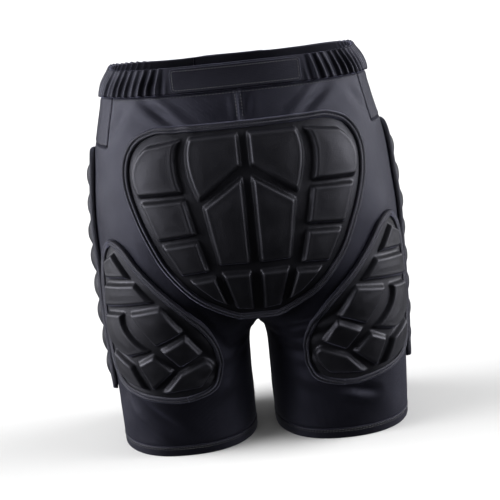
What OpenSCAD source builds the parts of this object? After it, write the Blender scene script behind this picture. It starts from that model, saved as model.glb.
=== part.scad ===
// Padded impact shorts: stretch shorts with moulded foam pads over the tail bone,
// the hips and the backs of the thighs, and a hook-and-loop waist flap in front.
// Frame: origin on the floor under the middle, +Z up, front faces -Y, the wearer's left is +X.

/* [Body size] */
// Height from hem to waist
height = 425; // [400:5:450]
// Width across the waist's top edge
waist_w = 260; // [245:5:290]
// Width across the hips
hip_w = 336; // [320:4:350]
// Width across both hems
hem_w = 328; // [310:2:340]
// Height of the crotch
crotch_z = 132; // [125:1:140]
// Gap between the legs
leg_gap = 21; // [14:1:26]

/* [Fabric] */
// Thickness of the stretch fabric
cloth_t = 1.5; // [1:0.1:2]
// Clear gap between neighbouring pieces
seam = 0.3; // [0.2:0.05:0.5]
// Height of the hem bands
hem_h = 12; // [8:1:16]
// How far the folded hem and waistband stand out of the fabric
fold_t = 1.2; // [0.6:0.1:1.6]

/* [Waist] */
// Lower edge of the waistband at the front
band_front_z = 388; // [384:1:392]
// Lower edge of the waistband at the back
band_back_z = 398; // [394:1:402]
// Lower edge of the hip bands
hip_band_z = 347; // [340:1:352]
// Root of the closure flap, left of the middle
flap_root_x = 43; // [38:1:48]
// Free end of the closure flap, right of the middle
flap_end_x = -45; // [-50:1:-38]
// Half length of the smooth patch on the back waist
patch_half = 67; // [55:1:75]

/* [Pads] */
// Thickness of the flexible web under each pad
web_t = 2; // [1.5:0.1:2.2]
// Clearance under the web and under the foam, which lie on curved cloth
lay = 0.9; // [0.8:0.1:1.2]
// Top of the tail and thigh foam blocks above the fabric
block_h = 9; // [8:0.5:11]
// Top of the side pad lumps above the fabric
lump_h = 13; // [10:0.5:14]
// Number of lumps on a side pad
lumps = 8; // [6:1:9]
// Width of the bindings sewn round the pads
binding_w = 7; // [5:0.5:8]

/* [Hidden] */
axis_y = -6;            // the side seams' place, front to back
squareness = 2.3;       // 2 is an ellipse, more is squarer
cleft_front = 78;       // height over which the legs merge, in front
cleft_back = 115;       // at the back
cleft_leg = 95;         // and down the legs
gap_share = 1.14 * leg_gap / (hip_w / 2 - leg_gap / 2);
gusset_z = crotch_z - 12;   // where the gusset starts on the leg seams
gusset_top = crotch_z + 18; // where it ends, front and back
gusset_half = 30;       // its half width at the front end
full = height / 425;    // scale of the upper heights
// Stations of the form: height, half width, front, back
STATIONS = [
    [0, hem_w / 2, -93, 73],
    [60, hem_w / 2 + 1.5, -97, 79],
    [110, hip_w / 2 - 1, -101, 85],
    [135, hip_w / 2 - 0.5, -103, 89],
    [170, hip_w / 2, -108, 99],
    [210, hip_w / 2, -115, 110],
    [255, hip_w / 2 - 1, -121, 115],
    [300 * full, hip_w / 2 - 5, -123, 112],
    [345 * full, hip_w / 2 - 12, -120, 102],
    [385 * full, waist_w / 2 + 16, -113, 91],
    [405 * full, waist_w / 2 + 11, -107, 84],
    [height, waist_w / 2, -103, 80],
];
LAST = len(STATIONS) - 1;
// Half width of the fly panel and outer edge of the mesh vents, by height
FLY_EDGE = [[gusset_top, 14], [180, 26], [223, 34.5], [277, 37.5], [388, 39.5]];
VENT_EDGE = [[gusset_top, 30], [180, 54], [235, 70], [305, 75.5], [388, 77]];
// Half width of the tail pad by height
TAIL_EDGE = [[160, 22], [172, 44], [186, 64], [217, 91], [254, 109], [280, 119],
    [305, 125], [332, 124], [351, 115], [361, 104], [367, 88]];
// Thigh pad edges by height: arc length behind the outer side, of its outer and inner edge
THIGH_OUTER = [[67, 120], [72, 92], [80, 66], [98, 47], [128, 42], [165, 42], [205, 44],
    [236, 52], [252, 66]];
THIGH_INNER = [[67, 136], [72, 157], [90, 175], [116, 181], [142, 177], [166, 164], [184, 148],
    [204, 128], [227, 106], [246, 88], [252, 76]];
// Side pad edges by height: arc length behind (+) or before (-) the outer side
SIDE_FRONT = [[64, -48], [68, -56], [76, -60], [285, -62], [305, -58], [322, -48], [333, -34], [338, -18]];
SIDE_BACK = [[64, 14], [68, 22], [78, 27], [300, 26], [322, 22], [333, 12], [338, 0]];
SIDE_LOW = 76;          // foot of the lowest lump
SIDE_TOP = 325;         // top of the highest lump

// ---- small helpers ----
function limit(v, lo, hi) = max(lo, min(hi, v));
function smooth(u) = let (k = limit(u, 0, 1)) k * k * (3 - 2 * k);
function mix(a, b, u) = a + (b - a) * u;
function signed_pow(v, p) = sign(v) * pow(abs(v), p);
function unit(v) = v / norm(v);
// Smooth curve through rows [key, value, ...]: column k at key v
function row_before(rows, v) = max([0, for (i = [0:len(rows) - 2]) if (v >= rows[i][0]) i]);
function slope(rows, i, k) =
    i == 0 ? (rows[1][k] - rows[0][k]) / (rows[1][0] - rows[0][0])
    : i == len(rows) - 1 ? (rows[i][k] - rows[i - 1][k]) / (rows[i][0] - rows[i - 1][0])
    : ((rows[i][k] - rows[i - 1][k]) / (rows[i][0] - rows[i - 1][0])
        + (rows[i + 1][k] - rows[i][k]) / (rows[i + 1][0] - rows[i][0])) / 2;
function curve(rows, v, k = 1) =
    let (i = row_before(rows, v), h = rows[i + 1][0] - rows[i][0], u = (v - rows[i][0]) / h)
    (2 * pow(u, 3) - 3 * pow(u, 2) + 1) * rows[i][k]
        + (pow(u, 3) - 2 * pow(u, 2) + u) * h * slope(rows, i, k)
        + (3 * pow(u, 2) - 2 * pow(u, 3)) * rows[i + 1][k]
        + (pow(u, 3) - pow(u, 2)) * h * slope(rows, i + 1, k);

// ---- the form ----
// A place on the form is [t, z, side]: t turns from 0 at the inner leg through 90 in front,
// 180 at the outer side and 270 at the back, and side is 1 for the left half, -1 for the right.
// Merge is 0 where the body is one oval, 1 at the crotch and a little more down the legs.
// Below the crotch the gap opens in a tight arch at the inner leg, and gently round the rest.
function eased(v) = v * (0.066 + v) / (0.15 + v) * 1.079;
function merge(z, back, t = 180) =
    let (
        rise = back ? cleft_back : cleft_front,
        v = (z - crotch_z) / (z < crotch_z ? cleft_leg : rise),
        apart = gap_share * (1 - 0.12 * z / crotch_z),
        away = smooth(abs((t + 540) % 360 - 180) / 80),
        quick = mix(1.57, 0.746 * cleft_leg / rise, away)
    )
    v >= 0 ? 1 - sin(90 * eased(min(1, v))) : 1 + apart * (1 - exp(v * quick / apart));
function half_x(z, back, t = 180) = curve(STATIONS, z) / (1 + merge(z, back, t));
function mid_x(z, back, t = 180) = half_x(z, back, t) * merge(z, back, t);
// Fill of the crease on the centre line, as a share of the depth
function bulge(x, mid, half) = pow(max(0, 1 - pow(abs((x - mid) / half), squareness)), 1 / squareness);
function fill(x, mid, half, r) =
    r <= 0 ? 0 : bulge(x + r * exp(-max(0, x) / r), mid, half) - bulge(x, mid, half);
// Point of the form; a bridging surface spans the crease, as a pad does
function form(t, z, bridge = false) =
    let (
        back = (t + 360) % 360 > 180,
        half = half_x(z, back, t),
        mid = mid_x(z, back, t),
        x = mid - half * signed_pow(cos(t), 2 / squareness),
        r = 14 * limit((z - crotch_z) / 60, 0, 1),
        own = fill(x, mid, half, r),
        crease = bridge ? max(own, fill(x, mid, half, 14 + 32 * merge(z, back))) : own,
        depth = back ? curve(STATIONS, z, 3) - axis_y : axis_y - curve(STATIONS, z, 2),
        reach = depth * (pow(abs(sin(t)), 2 / squareness) + (z < crotch_z ? 0 : crease)),
        rim = smooth((z - 250) / (height - 250)) * min(1, pow(reach / 92, 2))
    )
    [x, axis_y + (back ? reach : -reach), z + rim * (back ? 4 : -9)];
// Outward direction of the form
function outward(t, z, bridge = false) =
    let (
        along = form(t + 0.5, z, bridge) - form(t - 0.5, z, bridge),
        up = form(t, z + 0.8, bridge) - form(t, z - 0.8, bridge),
        raw = unit(cross(along, up)),
        x = form(t, z, bridge).x
    )
    unit([raw.x * limit(x / 6, 0, 1), raw.y, raw.z * limit(z / 30, 0, 1)]);
// Point at a distance off the form
function lift(place, off, bridge = false) =
    let (p = form(place[0], place[1], bridge) + off * outward(place[0], place[1], bridge))
    [p.x * place[2], p.y, p.z];
// Lowest t, on the centre line
function centre_t(z, back) =
    let (t = acos(min(1, pow(merge(z, back), squareness / 2)))) back ? 360 - t : t;
// Place at a distance x from the centre plane
function at_x(x, z, back) =
    let (t = acos(signed_pow((mid_x(z, back) - abs(x)) / half_x(z, back), squareness / 2)))
    [back ? 360 - t : t, z, x < 0 ? -1 : 1];
// Place on a full ring above the crotch: 0 is the front middle, 90 the left side
function on_ring(turn, z) =
    turn < 0 ? [90 - turn, z, -1] : turn <= 180 ? [90 + turn, z, 1] : [450 - turn, z, -1];
// Place at an arc length behind (+) or before (-) the outer side
function arc_rows(z, dir, t = 180, s = 0, step = 6) =
    t * dir > dir * (180 + dir * 168) ? []
    : concat([[s, t]], arc_rows(z, dir, t + dir * step,
        s + norm(form(t + dir * step, z) - form(t, z)), step));
function on_side(s, z, side) = [lookup(abs(s), arc_rows(z, s < 0 ? -1 : 1)), z, side];

// ---- solids between two grids of points ----
function grid(cols, rows, f) = [for (v = rows) [for (u = cols) f(u, v)]];
function steps(n, lo = 0, hi = 1) = [for (i = [0:n]) mix(lo, hi, i / n)];
module between(top, low) {
    m = len(top);
    n = len(top[0]);
    function id(layer, i, j) = layer * m * n + i * n + j;
    cells = [for (i = [0:m - 2]) for (j = [0:n - 2]) for (f = [
        [id(0, i, j), id(0, i + 1, j + 1), id(0, i, j + 1)],
        [id(0, i, j), id(0, i + 1, j), id(0, i + 1, j + 1)],
        [id(1, i, j), id(1, i, j + 1), id(1, i + 1, j + 1)],
        [id(1, i, j), id(1, i + 1, j + 1), id(1, i + 1, j)]]) f];
    rim = concat(
        [for (j = [0:n - 1]) [0, j]], [for (i = [1:m - 1]) [i, n - 1]],
        [for (j = [n - 2:-1:0]) [m - 1, j]], [for (i = [m - 2:-1:1]) [i, 0]]);
    k = len(rim);
    walls = [for (a = [0:k - 1]) let (p = rim[a], q = rim[(a + 1) % k]) for (f = [
        [id(0, p[0], p[1]), id(0, q[0], q[1]), id(1, q[0], q[1])],
        [id(0, p[0], p[1]), id(1, q[0], q[1]), id(1, p[0], p[1])]]) f];
    polyhedron(concat([for (r = top) each r], [for (r = low) each r]), concat(cells, walls), 6);
}
// A sheet of fabric over a grid of places
module sheet(places, low = -cloth_t, high = 0, bridge = false) {
    between([for (r = places) [for (p = r) lift(p, high, bridge)]],
        [for (r = places) [for (p = r) lift(p, low, bridge)]]);
}
// A closed loop between four rings of points: the corner lines of its cross-section
module loop(rings) {
    n = len(rings[0]);
    function id(r, i) = r % 4 * n + i % n;
    faces = [for (r = [0:3]) for (i = [0:n - 1]) for (f = [
        [id(r, i), id(r + 1, i), id(r + 1, i + 1)],
        [id(r, i), id(r + 1, i + 1), id(r, i + 1)]]) f];
    polyhedron([for (r = rings) each r], faces, 6);
}
module mirror_x() {
    mirror([1, 0, 0]) children();
}

// ---- stretch fabric panels ----
seam_turn = 0.12;       // half of a seam's gap, as a turn round the form
front_turn = at_x(gusset_half, gusset_top, false)[0];
back_turn = 360 - centre_t(gusset_top, true);
hip_back = 207;         // where the hip bands end, behind the side
taper = 0.7;            // how the gusset widens towards its corners
function rise(z) = limit((z - gusset_z) / (gusset_top - gusset_z), 0, 1);
function front_edge(z) = z <= gusset_top ? front_turn * pow(rise(z), taper)
    : at_x(curve(VENT_EDGE, z) + seam, z, false)[0];
function back_edge(z) = z <= gusset_top ? 360 - back_turn * pow(rise(z), taper) : centre_t(z, true);
// Turn from the outer side (u = 1) to an inner edge (u = 0), moved mostly near that edge
function across(u, edge, z) = 180 * u + edge * pow(1 - u, 2 - rise(z));
function band_foot(t) = mix(band_front_z, band_back_z, smooth((t - 150) / 50));
function leg_rows() = concat(steps(4, hem_h + seam, gusset_z),
    [for (q = [0.2:0.2:1]) mix(gusset_z, gusset_top, pow(q, 1 / taper))]);

module front_panel() {
    rows = concat(leg_rows(), [for (z = steps(8, gusset_top, hip_band_z + 0.9)) if (z > gusset_top) z]);
    sheet(grid(steps(11), rows,
        function(u, z) [across(u, front_edge(z), z) + mix(seam_turn, -seam_turn, u), z, 1]));
}
module back_panel() {
    low = concat(leg_rows(), [for (z = steps(8, gusset_top, hip_band_z - 0.6)) if (z > gusset_top) z]);
    top = hip_band_z + 0.9;
    // Row numbers past the low rows run up to the waistband's foot
    sheet(grid(steps(11), [for (i = [0:len(low) + 2]) i], function(u, i)
        i < len(low) ? [360 - across(1 - u, 360 - back_edge(low[i]), low[i]) + mix(seam_turn, -seam_turn, u),
            low[i], 1]
        : let (t = mix(hip_back, 270 - seam_turn, u))
            [t, mix(top, band_foot(t) - seam, (i - len(low)) / 2), 1]));
}
module fly_panel() {
    sheet(grid(steps(8, -1, 1), steps(10, gusset_top + seam, band_front_z - seam),
        function(u, z) at_x(u * (curve(FLY_EDGE, z) - seam), z, false)));
}
module mesh_vent() {
    sheet(grid(steps(4), steps(12, gusset_top + seam, band_front_z - seam),
        function(u, z) at_x(mix(curve(FLY_EDGE, z), curve(VENT_EDGE, z), u), z, false)), -1.2, 0);
}
// A diamond under the crotch: q runs from the back to the front, u from side to side
function gusset_place(u, q) =
    let (
        back = q < 0,
        z0 = mix(crotch_z, gusset_top, pow(abs(q), 1 / taper)),
        z1 = mix(gusset_z, gusset_top, pow(abs(q), 1 / taper)),
        z = mix(z0, z1, u * u),
        least = z > crotch_z ? (back ? 360 - centre_t(z, true) : centre_t(z, false)) : 0,
        least_out = z1 > crotch_z ? (back ? 360 - centre_t(z1, true) : centre_t(z1, false)) : 0,
        t = least + abs(u) * ((back ? back_turn : front_turn) * abs(q) - least_out)
    )
    [back ? 360 - t : t, z, u < 0 ? -1 : 1];
module crotch_gusset() {
    sheet(grid(steps(10, -0.985, 0.985), steps(10, -0.99, 0.995), function(u, q) gusset_place(u, q)));
}
module hip_band() {
    sheet(grid(steps(9), steps(2), function(u, v)
        let (z = mix(hip_band_z + 1.2, band_front_z, v),
            t = mix(at_x(curve(VENT_EDGE, z) + 2 * seam, z, false)[0], hip_back - 2 * seam_turn, u))
            [t, mix(hip_band_z + 1.2, band_foot(t) - seam, v), 1]));
}
module hem_band() {
    n = 40;
    ring = function(z, off) [for (i = [0:n - 1]) lift([360 * (i + 0.5) / n, z, 1], off)];
    outer = fold_t / 3;
    inner = -cloth_t - fold_t / 3;
    loop([ring(hem_h, inner), ring(0, inner), ring(0, outer), ring(hem_h, outer)]);
}

// ---- waistband and its closure ----
function turn_at(x) = sign(x) * (at_x(abs(x), 405, false)[0] - 90);
module band(from, to, n) {
    sheet(grid(steps(n, from, to), steps(2), function(turn, v)
        let (t = on_ring(turn, 0)[0]) on_ring(turn, mix(band_foot(t), height, v))), -cloth_t, fold_t);
}
module waistband_front_left() {
    band(turn_at(flap_root_x - 1), 90 - seam_turn, 8);
}
module waistband_front_right() {
    band(seam_turn - 90, turn_at(flap_root_x - 5), 12);
}
module waistband_back() {
    band(90 + seam_turn, 270 - seam_turn, 20);
}
module waist_elastic() {
    sheet(grid(steps(28, 78, 282), steps(2, 404, height - 4), function(turn, z) on_ring(turn, z)),
        -3.6, -2.1);
}
module rear_waist_patch() {
    sheet(grid(steps(8, -patch_half, patch_half), [band_back_z + 2, 411, height - 2],
        function(x, z) at_x(x, z, true)), fold_t + seam, fold_t + seam + 1.2);
}
function flap_off(x) = fold_t + seam + 2.2 * smooth((flap_root_x - x) / 20);
module closure_flap() {
    xs = steps(10, flap_root_x, flap_end_x);
    zs = [band_front_z + 1, 407, height - 1];
    between([for (z = zs) [for (x = xs) lift(at_x(x, z, false), flap_off(x) + 1.5)]],
        [for (z = zs) [for (x = xs) lift(at_x(x, z, false), flap_off(x))]]);
}
// Half of the hook-and-loop fastening, 0.8 thick
module strip_on_band(low) {
    sheet(grid(steps(4, flap_end_x + 3, -12), steps(2, band_front_z + 5, height - 5),
        function(x, z) at_x(x, z, false)), low, low + 0.8);
}

// ---- moulded foam pads ----
BEVEL = [0, 0.1, 0.5, 0.9, 1];
LONG = [0, 0.1, 0.3, 0.5, 0.7, 0.9, 1];
// Corner line through two or three points
function along(p, v) = len(p) == 2 ? mix(p[0], p[1], v)
    : v < 0.5 ? mix(p[0], p[1], 2 * v) : mix(p[1], p[2], 2 * v - 1);
// A crowned block between two edge lines, given from its lower end up
module block(left, right, place, low, high, shape = BEVEL, bridge = false) {
    edge = function(k, list) k == 0 || k == list[len(list) - 1] ? 0.4 : 1;
    spot = function(u, v) let (q = mix(along(left, v), along(right, v), u)) place(q[0], q[1]);
    between([for (v = shape) [for (u = BEVEL)
            lift(spot(u, v), mix(low, high, edge(u, BEVEL) * edge(v, shape)), bridge)]],
        [for (v = shape) [for (u = BEVEL) lift(spot(u, v), low, bridge)]]);
}
// A binding strip just inside an outline of [x, z] points
function inset(line, d) = [for (i = [0:len(line) - 1])
    let (a = line[(i + len(line) - 1) % len(line)], b = line[(i + 1) % len(line)], w = unit(b - a))
    line[i] + d * [-w.y, w.x]];
module binding(line, place, low, high, bridge = false) {
    ring = function(points, off) [for (p = points) lift(place(p[0], p[1]), off, bridge)];
    inner = inset(line, binding_w);
    loop([ring(line, low), ring(line, high), ring(inner, high), ring(inner, low)]);
}
web_low = lay + 0.1;
foam_low = web_low + web_t + lay; // underside of the blocks, on the web
bind_high = foam_low + 2.4;

// Tail pad, in [distance from the middle, height]
tail_rows = [160, 166, 172, 181, 190, 203, 215, 230, 245, 260, 275, 290, 305, 332, 351, 361, 367];
function on_back(x, z) = at_x(x, z, true);
TAIL_BLOCKS = [
    [[[5, 324], [5, 356]], [[50, 293], [59, 328], [54, 355]]],
    [[[5, 226], [5, 314]], [[37, 226], [47, 287]]],
    [[[5, 172], [5, 217]], [[24, 175], [35, 217]]],
    [[[66, 302], [70, 333], [62, 354]], [[111, 299], [114, 326], [98, 348]]],
    [[[57, 260], [65, 297]], [[95, 255], [109, 294]]],
    [[[48, 220], [56, 254]], [[76, 217], [92, 250]]],
    [[[31, 179], [42, 214]], [[47, 189], [69, 211]]],
];
module tail_pad_web() {
    sheet(grid(steps(12, -1, 1), tail_rows, function(u, z) on_back(u * curve(TAIL_EDGE, z), z)),
        web_low, web_low + web_t, true);
}
module tail_pad_foam() {
    for (b = TAIL_BLOCKS) {
        block(b[0], b[1], function(x, z) on_back(x, z), foam_low, block_h, bridge = true);
        mirror_x() block(b[0], b[1], function(x, z) on_back(x, z), foam_low, block_h, bridge = true);
    }
}
module tail_pad_binding() {
    k = len(tail_rows) - 1;
    line = concat([for (z = tail_rows) [curve(TAIL_EDGE, z), z]],
        [for (x = [60:-20:-60]) [x, tail_rows[k]]],
        [for (i = [k:-1:0]) [-curve(TAIL_EDGE, tail_rows[i]), tail_rows[i]]]);
    binding(line, function(x, z) on_back(x, z), foam_low, bind_high, true);
}

// Side pad, in [arc length from the outer side, height]
function beside(s, z) = on_side(s, z, 1);
side_rows = [64, 68, 76, 90, 130, 170, 210, 250, 285, 305, 322, 333, 338];
module side_pad_web() {
    spot = function(u, z) beside(mix(curve(SIDE_FRONT, z), curve(SIDE_BACK, z), u), z);
    sheet(grid(steps(8), side_rows, spot), web_low, web_low + web_t);
}
module side_pad_foam() {
    pitch = (SIDE_TOP - SIDE_LOW) / lumps;
    for (i = [0:lumps - 1]) {
        z = SIDE_LOW + i * pitch;
        lump(z, z + pitch - 1.5);
    }
}
// One rounded lump between two heights
module lump(z0, z1) {
    m = binding_w + 3.5;
    rounds = [0, 0.08, 0.25, 0.5, 0.75, 0.92, 1];
    swell = function(v) 0.35 + 0.65 * sqrt(max(0, 1 - pow(abs(2 * v - 1), 2.4)));
    ends = function(u) u == 0 || u == 1 ? 0.4 : 1;
    spot = function(u, z) beside(mix(curve(SIDE_FRONT, z) + m, curve(SIDE_BACK, z) - m, u), z);
    between([for (v = rounds) [for (u = LONG)
            lift(spot(u, mix(z0, z1, v)), mix(foam_low, lump_h, swell(v) * ends(u)))]],
        [for (v = rounds) [for (u = LONG) lift(spot(u, mix(z0, z1, v)), foam_low)]]);
}
module side_pad_binding() {
    k = len(side_rows) - 1;
    foot = side_rows[0];
    line = concat([for (z = side_rows) [curve(SIDE_BACK, z), z]],
        [for (i = [k:-1:0]) [curve(SIDE_FRONT, side_rows[i]), side_rows[i]]],
        [for (u = [0.2:0.2:0.8]) [mix(curve(SIDE_FRONT, foot), curve(SIDE_BACK, foot), u), foot]]);
    binding(line, function(s, z) beside(s, z), foam_low, bind_high + 2);
}

// Thigh pad, in [arc length behind the outer side, height]
THIGH_BLOCKS = [
    [[[61, 208], [59, 228]], [[98, 213], [76, 238]]],
    [[[54, 175], [58, 202]], [[123, 188], [104, 208]]],
    [[[82, 122], [54, 139], [55, 169]], [[108, 131], [86, 153], [83, 173]]],
    [[[116, 137], [92, 174]], [[148, 153], [130, 183]]],
    [[[101, 84], [91, 116]], [[128, 107], [111, 127]]],
    [[[135, 110], [119, 132]], [[161, 123], [148, 148]]],
    [[[74, 90], [58, 106], [58, 128]], [[96, 84], [88, 101], [84, 113]]],
    [[[110, 80], [133, 104]], [[151, 84], [168, 104], [162, 117]]],
];
thigh_rows = [67, 69, 72, 80, 90, 98, 116, 128, 142, 165, 184, 205, 227, 246, 252];
module thigh_pad_web() {
    spot = function(u, z) beside(mix(curve(THIGH_OUTER, z), curve(THIGH_INNER, z), u), z);
    sheet(grid(steps(8), thigh_rows, spot), web_low, web_low + web_t);
}
module thigh_pad_foam() {
    for (b = THIGH_BLOCKS) block(b[0], b[1], function(s, z) beside(s, z), foam_low, block_h);
}
module thigh_pad_binding() {
    k = len(thigh_rows) - 1;
    line = concat([for (z = thigh_rows) [curve(THIGH_INNER, z), z]],
        [for (i = [k:-1:0]) [curve(THIGH_OUTER, thigh_rows[i]), thigh_rows[i]]]);
    binding(line, function(s, z) beside(s, z), foam_low, bind_high);
}
module care_label() {
    sheet(grid(steps(3, -14, 14), [362, 378, 394], function(x, z) at_x(x, z, true)), -2.4, -1.9);
}

CLOTH = [0.16, 0.16, 0.19];
MESH = [0.3, 0.3, 0.33];
FOAM = [0.12, 0.12, 0.13];
EDGE = [0.08, 0.08, 0.09];

color(CLOTH) front_panel();  // front_panel_left
color(CLOTH) mirror_x() front_panel();  // front_panel_right
color(CLOTH) back_panel();  // back_panel_left
color(CLOTH) mirror_x() back_panel();  // back_panel_right
color(CLOTH) fly_panel();
color(MESH) mesh_vent();  // mesh_vent_left
color(MESH) mirror_x() mesh_vent();  // mesh_vent_right
color(CLOTH) crotch_gusset();
color(CLOTH) hip_band();  // hip_band_left
color(CLOTH) mirror_x() hip_band();  // hip_band_right
color(EDGE) hem_band();  // hem_band_left
color(EDGE) mirror_x() hem_band();  // hem_band_right
color(EDGE) waistband_front_left();
color(EDGE) waistband_front_right();
color(EDGE) waistband_back();
color(MESH) waist_elastic();
color(CLOTH) rear_waist_patch();
color(CLOTH) closure_flap();
color(EDGE) strip_on_band(fold_t + 2 * seam + 0.8);  // hook_patch
color(EDGE) strip_on_band(fold_t + seam);  // loop_patch
color(FOAM) tail_pad_web();
color(FOAM) tail_pad_foam();
color(EDGE) tail_pad_binding();
color(FOAM) side_pad_web();  // side_pad_web_left
color(FOAM) side_pad_foam();  // side_pad_foam_left
color(EDGE) side_pad_binding();  // side_pad_binding_left
color(FOAM) mirror_x() side_pad_web();  // side_pad_web_right
color(FOAM) mirror_x() side_pad_foam();  // side_pad_foam_right
color(EDGE) mirror_x() side_pad_binding();  // side_pad_binding_right
color(FOAM) thigh_pad_web();  // thigh_pad_web_left
color(FOAM) thigh_pad_foam();  // thigh_pad_foam_left
color(EDGE) thigh_pad_binding();  // thigh_pad_binding_left
color(FOAM) mirror_x() thigh_pad_web();  // thigh_pad_web_right
color(FOAM) mirror_x() thigh_pad_foam();  // thigh_pad_foam_right
color(EDGE) mirror_x() thigh_pad_binding();  // thigh_pad_binding_right
color("white") care_label();
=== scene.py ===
import math

import bpy
import mathutils
import numpy as np
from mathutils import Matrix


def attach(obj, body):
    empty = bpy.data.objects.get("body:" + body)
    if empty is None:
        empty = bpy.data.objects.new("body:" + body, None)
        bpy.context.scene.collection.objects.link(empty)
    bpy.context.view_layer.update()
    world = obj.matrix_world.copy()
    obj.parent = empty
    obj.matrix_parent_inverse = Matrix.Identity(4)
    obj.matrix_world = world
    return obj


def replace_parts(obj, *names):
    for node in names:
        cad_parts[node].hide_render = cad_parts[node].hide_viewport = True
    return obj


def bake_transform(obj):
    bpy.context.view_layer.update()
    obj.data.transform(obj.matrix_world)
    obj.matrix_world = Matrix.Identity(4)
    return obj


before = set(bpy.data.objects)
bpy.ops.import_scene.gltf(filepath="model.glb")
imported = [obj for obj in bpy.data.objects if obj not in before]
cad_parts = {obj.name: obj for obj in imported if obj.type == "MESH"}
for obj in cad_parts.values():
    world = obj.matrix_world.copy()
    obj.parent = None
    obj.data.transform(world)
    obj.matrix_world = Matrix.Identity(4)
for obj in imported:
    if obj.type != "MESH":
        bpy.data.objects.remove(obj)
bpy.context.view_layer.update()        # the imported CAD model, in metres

MM = 0.001
rng = np.random.default_rng(11)

# -------- form of the body, in mm
# These repeat the driving dimensions of the CAD model, so that the cloth lies on the same form.
HEIGHT, WAIST_W, HIP_W, HEM_W = 425.0, 260.0, 336.0, 328.0
CROTCH_Z, LEG_GAP, AXIS_Y, SQUARE = 132.0, 21.0, -6.0, 2.3
CLEFT_FRONT, CLEFT_BACK, CLEFT_LEG = 78.0, 115.0, 95.0
GAP_SHARE = 1.14 * LEG_GAP / (HIP_W / 2 - LEG_GAP / 2)
GUSSET_Z, GUSSET_TOP, GUSSET_HALF, TAPER = CROTCH_Z - 12, CROTCH_Z + 18, 30.0, 0.7
HEM_H, BAND_FRONT_Z, BAND_BACK_Z, HIP_BAND_Z = 12.0, 388.0, 398.0, 347.0
FLAP_ROOT, FLAP_END, PATCH_HALF = 43.0, -45.0, 67.0
HIP_BACK = 207.0
CLOTH_T, FOLD_T, SEAM, LUMPS = 1.5, 1.2, 0.3, 8
SIDES = ((1, "left"), (-1, "right"))
# How the legs merge above the crotch, and how fast they part below it, inside and outside
EASE_START, EASE_KNEE, EASE_SCALE = 0.066, 0.15, 1.079
INNER_RATE, OUTER_RATE = 1.57, 0.746
# Fillets of the crease on the centre line, and the tilt of the body towards the waist
CREASE_R, CREASE_RISE, BRIDGE_R = 14.0, 60.0, 32.0
TILT_START, TILT_DEPTH, TILT_BACK, TILT_FRONT = 250.0, 92.0, 4.0, -9.0
STATIONS = np.array([
    [0, HEM_W / 2, -93, 73],
    [60, HEM_W / 2 + 1.5, -97, 79],
    [110, HIP_W / 2 - 1, -101, 85],
    [135, HIP_W / 2 - 0.5, -103, 89],
    [170, HIP_W / 2, -108, 99],
    [210, HIP_W / 2, -115, 110],
    [255, HIP_W / 2 - 1, -121, 115],
    [300, HIP_W / 2 - 5, -123, 112],
    [345, HIP_W / 2 - 12, -120, 102],
    [385, WAIST_W / 2 + 16, -113, 91],
    [405, WAIST_W / 2 + 11, -107, 84],
    [HEIGHT, WAIST_W / 2, -103, 80],
])
FLY_EDGE = np.array([[150, 14], [180, 26], [223, 34.5], [277, 37.5], [388, 39.5]])
VENT_EDGE = np.array([[150, 30], [180, 54], [235, 70], [305, 75.5], [388, 77]])
TAIL_EDGE = np.array([[160, 22], [172, 44], [186, 64], [217, 91], [254, 109], [280, 119],
                      [305, 125], [332, 124], [351, 115], [361, 104], [367, 88]])
THIGH_OUTER = np.array([[67, 120], [72, 92], [80, 66], [98, 47], [128, 42], [165, 42],
                        [205, 44], [236, 52], [252, 66]])
THIGH_INNER = np.array([[67, 136], [72, 157], [90, 175], [116, 181], [142, 177], [166, 164],
                        [184, 148], [204, 128], [227, 106], [246, 88], [252, 76]])
SIDE_FRONT = np.array([[64, -48], [68, -56], [76, -60], [285, -62], [305, -58], [322, -48],
                       [333, -34], [338, -18]])
SIDE_BACK = np.array([[64, 14], [68, 22], [78, 27], [300, 26], [322, 22], [333, 12], [338, 0]])


def smooth(u):
    k = np.clip(u, 0, 1)
    return k * k * (3 - 2 * k)


def mix(a, b, u):
    return a + (b - a) * u


def curve(rows, v, k=1):
    """Smooth curve through rows [key, value, ...]: column k at key v."""
    x, y = rows[:, 0], rows[:, k]
    step = np.diff(y) / np.diff(x)
    m = np.concatenate([step[:1], (step[:-1] + step[1:]) / 2, step[-1:]])
    i = np.clip(np.searchsorted(x, v, side="right") - 1, 0, len(x) - 2)
    h = x[i + 1] - x[i]
    u = (v - x[i]) / h
    return ((2 * u**3 - 3 * u**2 + 1) * y[i] + (u**3 - 2 * u**2 + u) * h * m[i]
            + (3 * u**2 - 2 * u**3) * y[i + 1] + (u**3 - u**2) * h * m[i + 1])


def merge(z, back, t=180.0):
    """0 where the body is one oval, 1 at the crotch, a little more down the legs."""
    cleft = np.where(back, CLEFT_BACK, CLEFT_FRONT)
    v = np.clip((z - CROTCH_Z) / cleft, 0, 1)
    eased = v * (EASE_START + v) / (EASE_KNEE + v) * EASE_SCALE
    apart = np.maximum(GAP_SHARE * (1 - 0.12 * z / CROTCH_Z), 0.02)
    away = smooth(np.abs(np.mod(t + 540, 360) - 180) / 80)
    quick = mix(INNER_RATE, OUTER_RATE * CLEFT_LEG / cleft, away)
    down = np.minimum(z - CROTCH_Z, 0) / CLEFT_LEG
    below = 1 + apart * (1 - np.exp(down * quick / apart))
    return np.where(z >= CROTCH_Z, 1 - np.sin(np.pi / 2 * eased), below)


def bulge(x, mid, half):
    return np.maximum(0, 1 - np.abs((x - mid) / half) ** SQUARE) ** (1 / SQUARE)


def fill(x, mid, half, r):
    """Depth that a fillet of size r adds in the crease between the halves."""
    r = np.maximum(r, 1e-6)
    return bulge(x + r * np.exp(-np.maximum(0, x) / r), mid, half) - bulge(x, mid, half)


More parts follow.
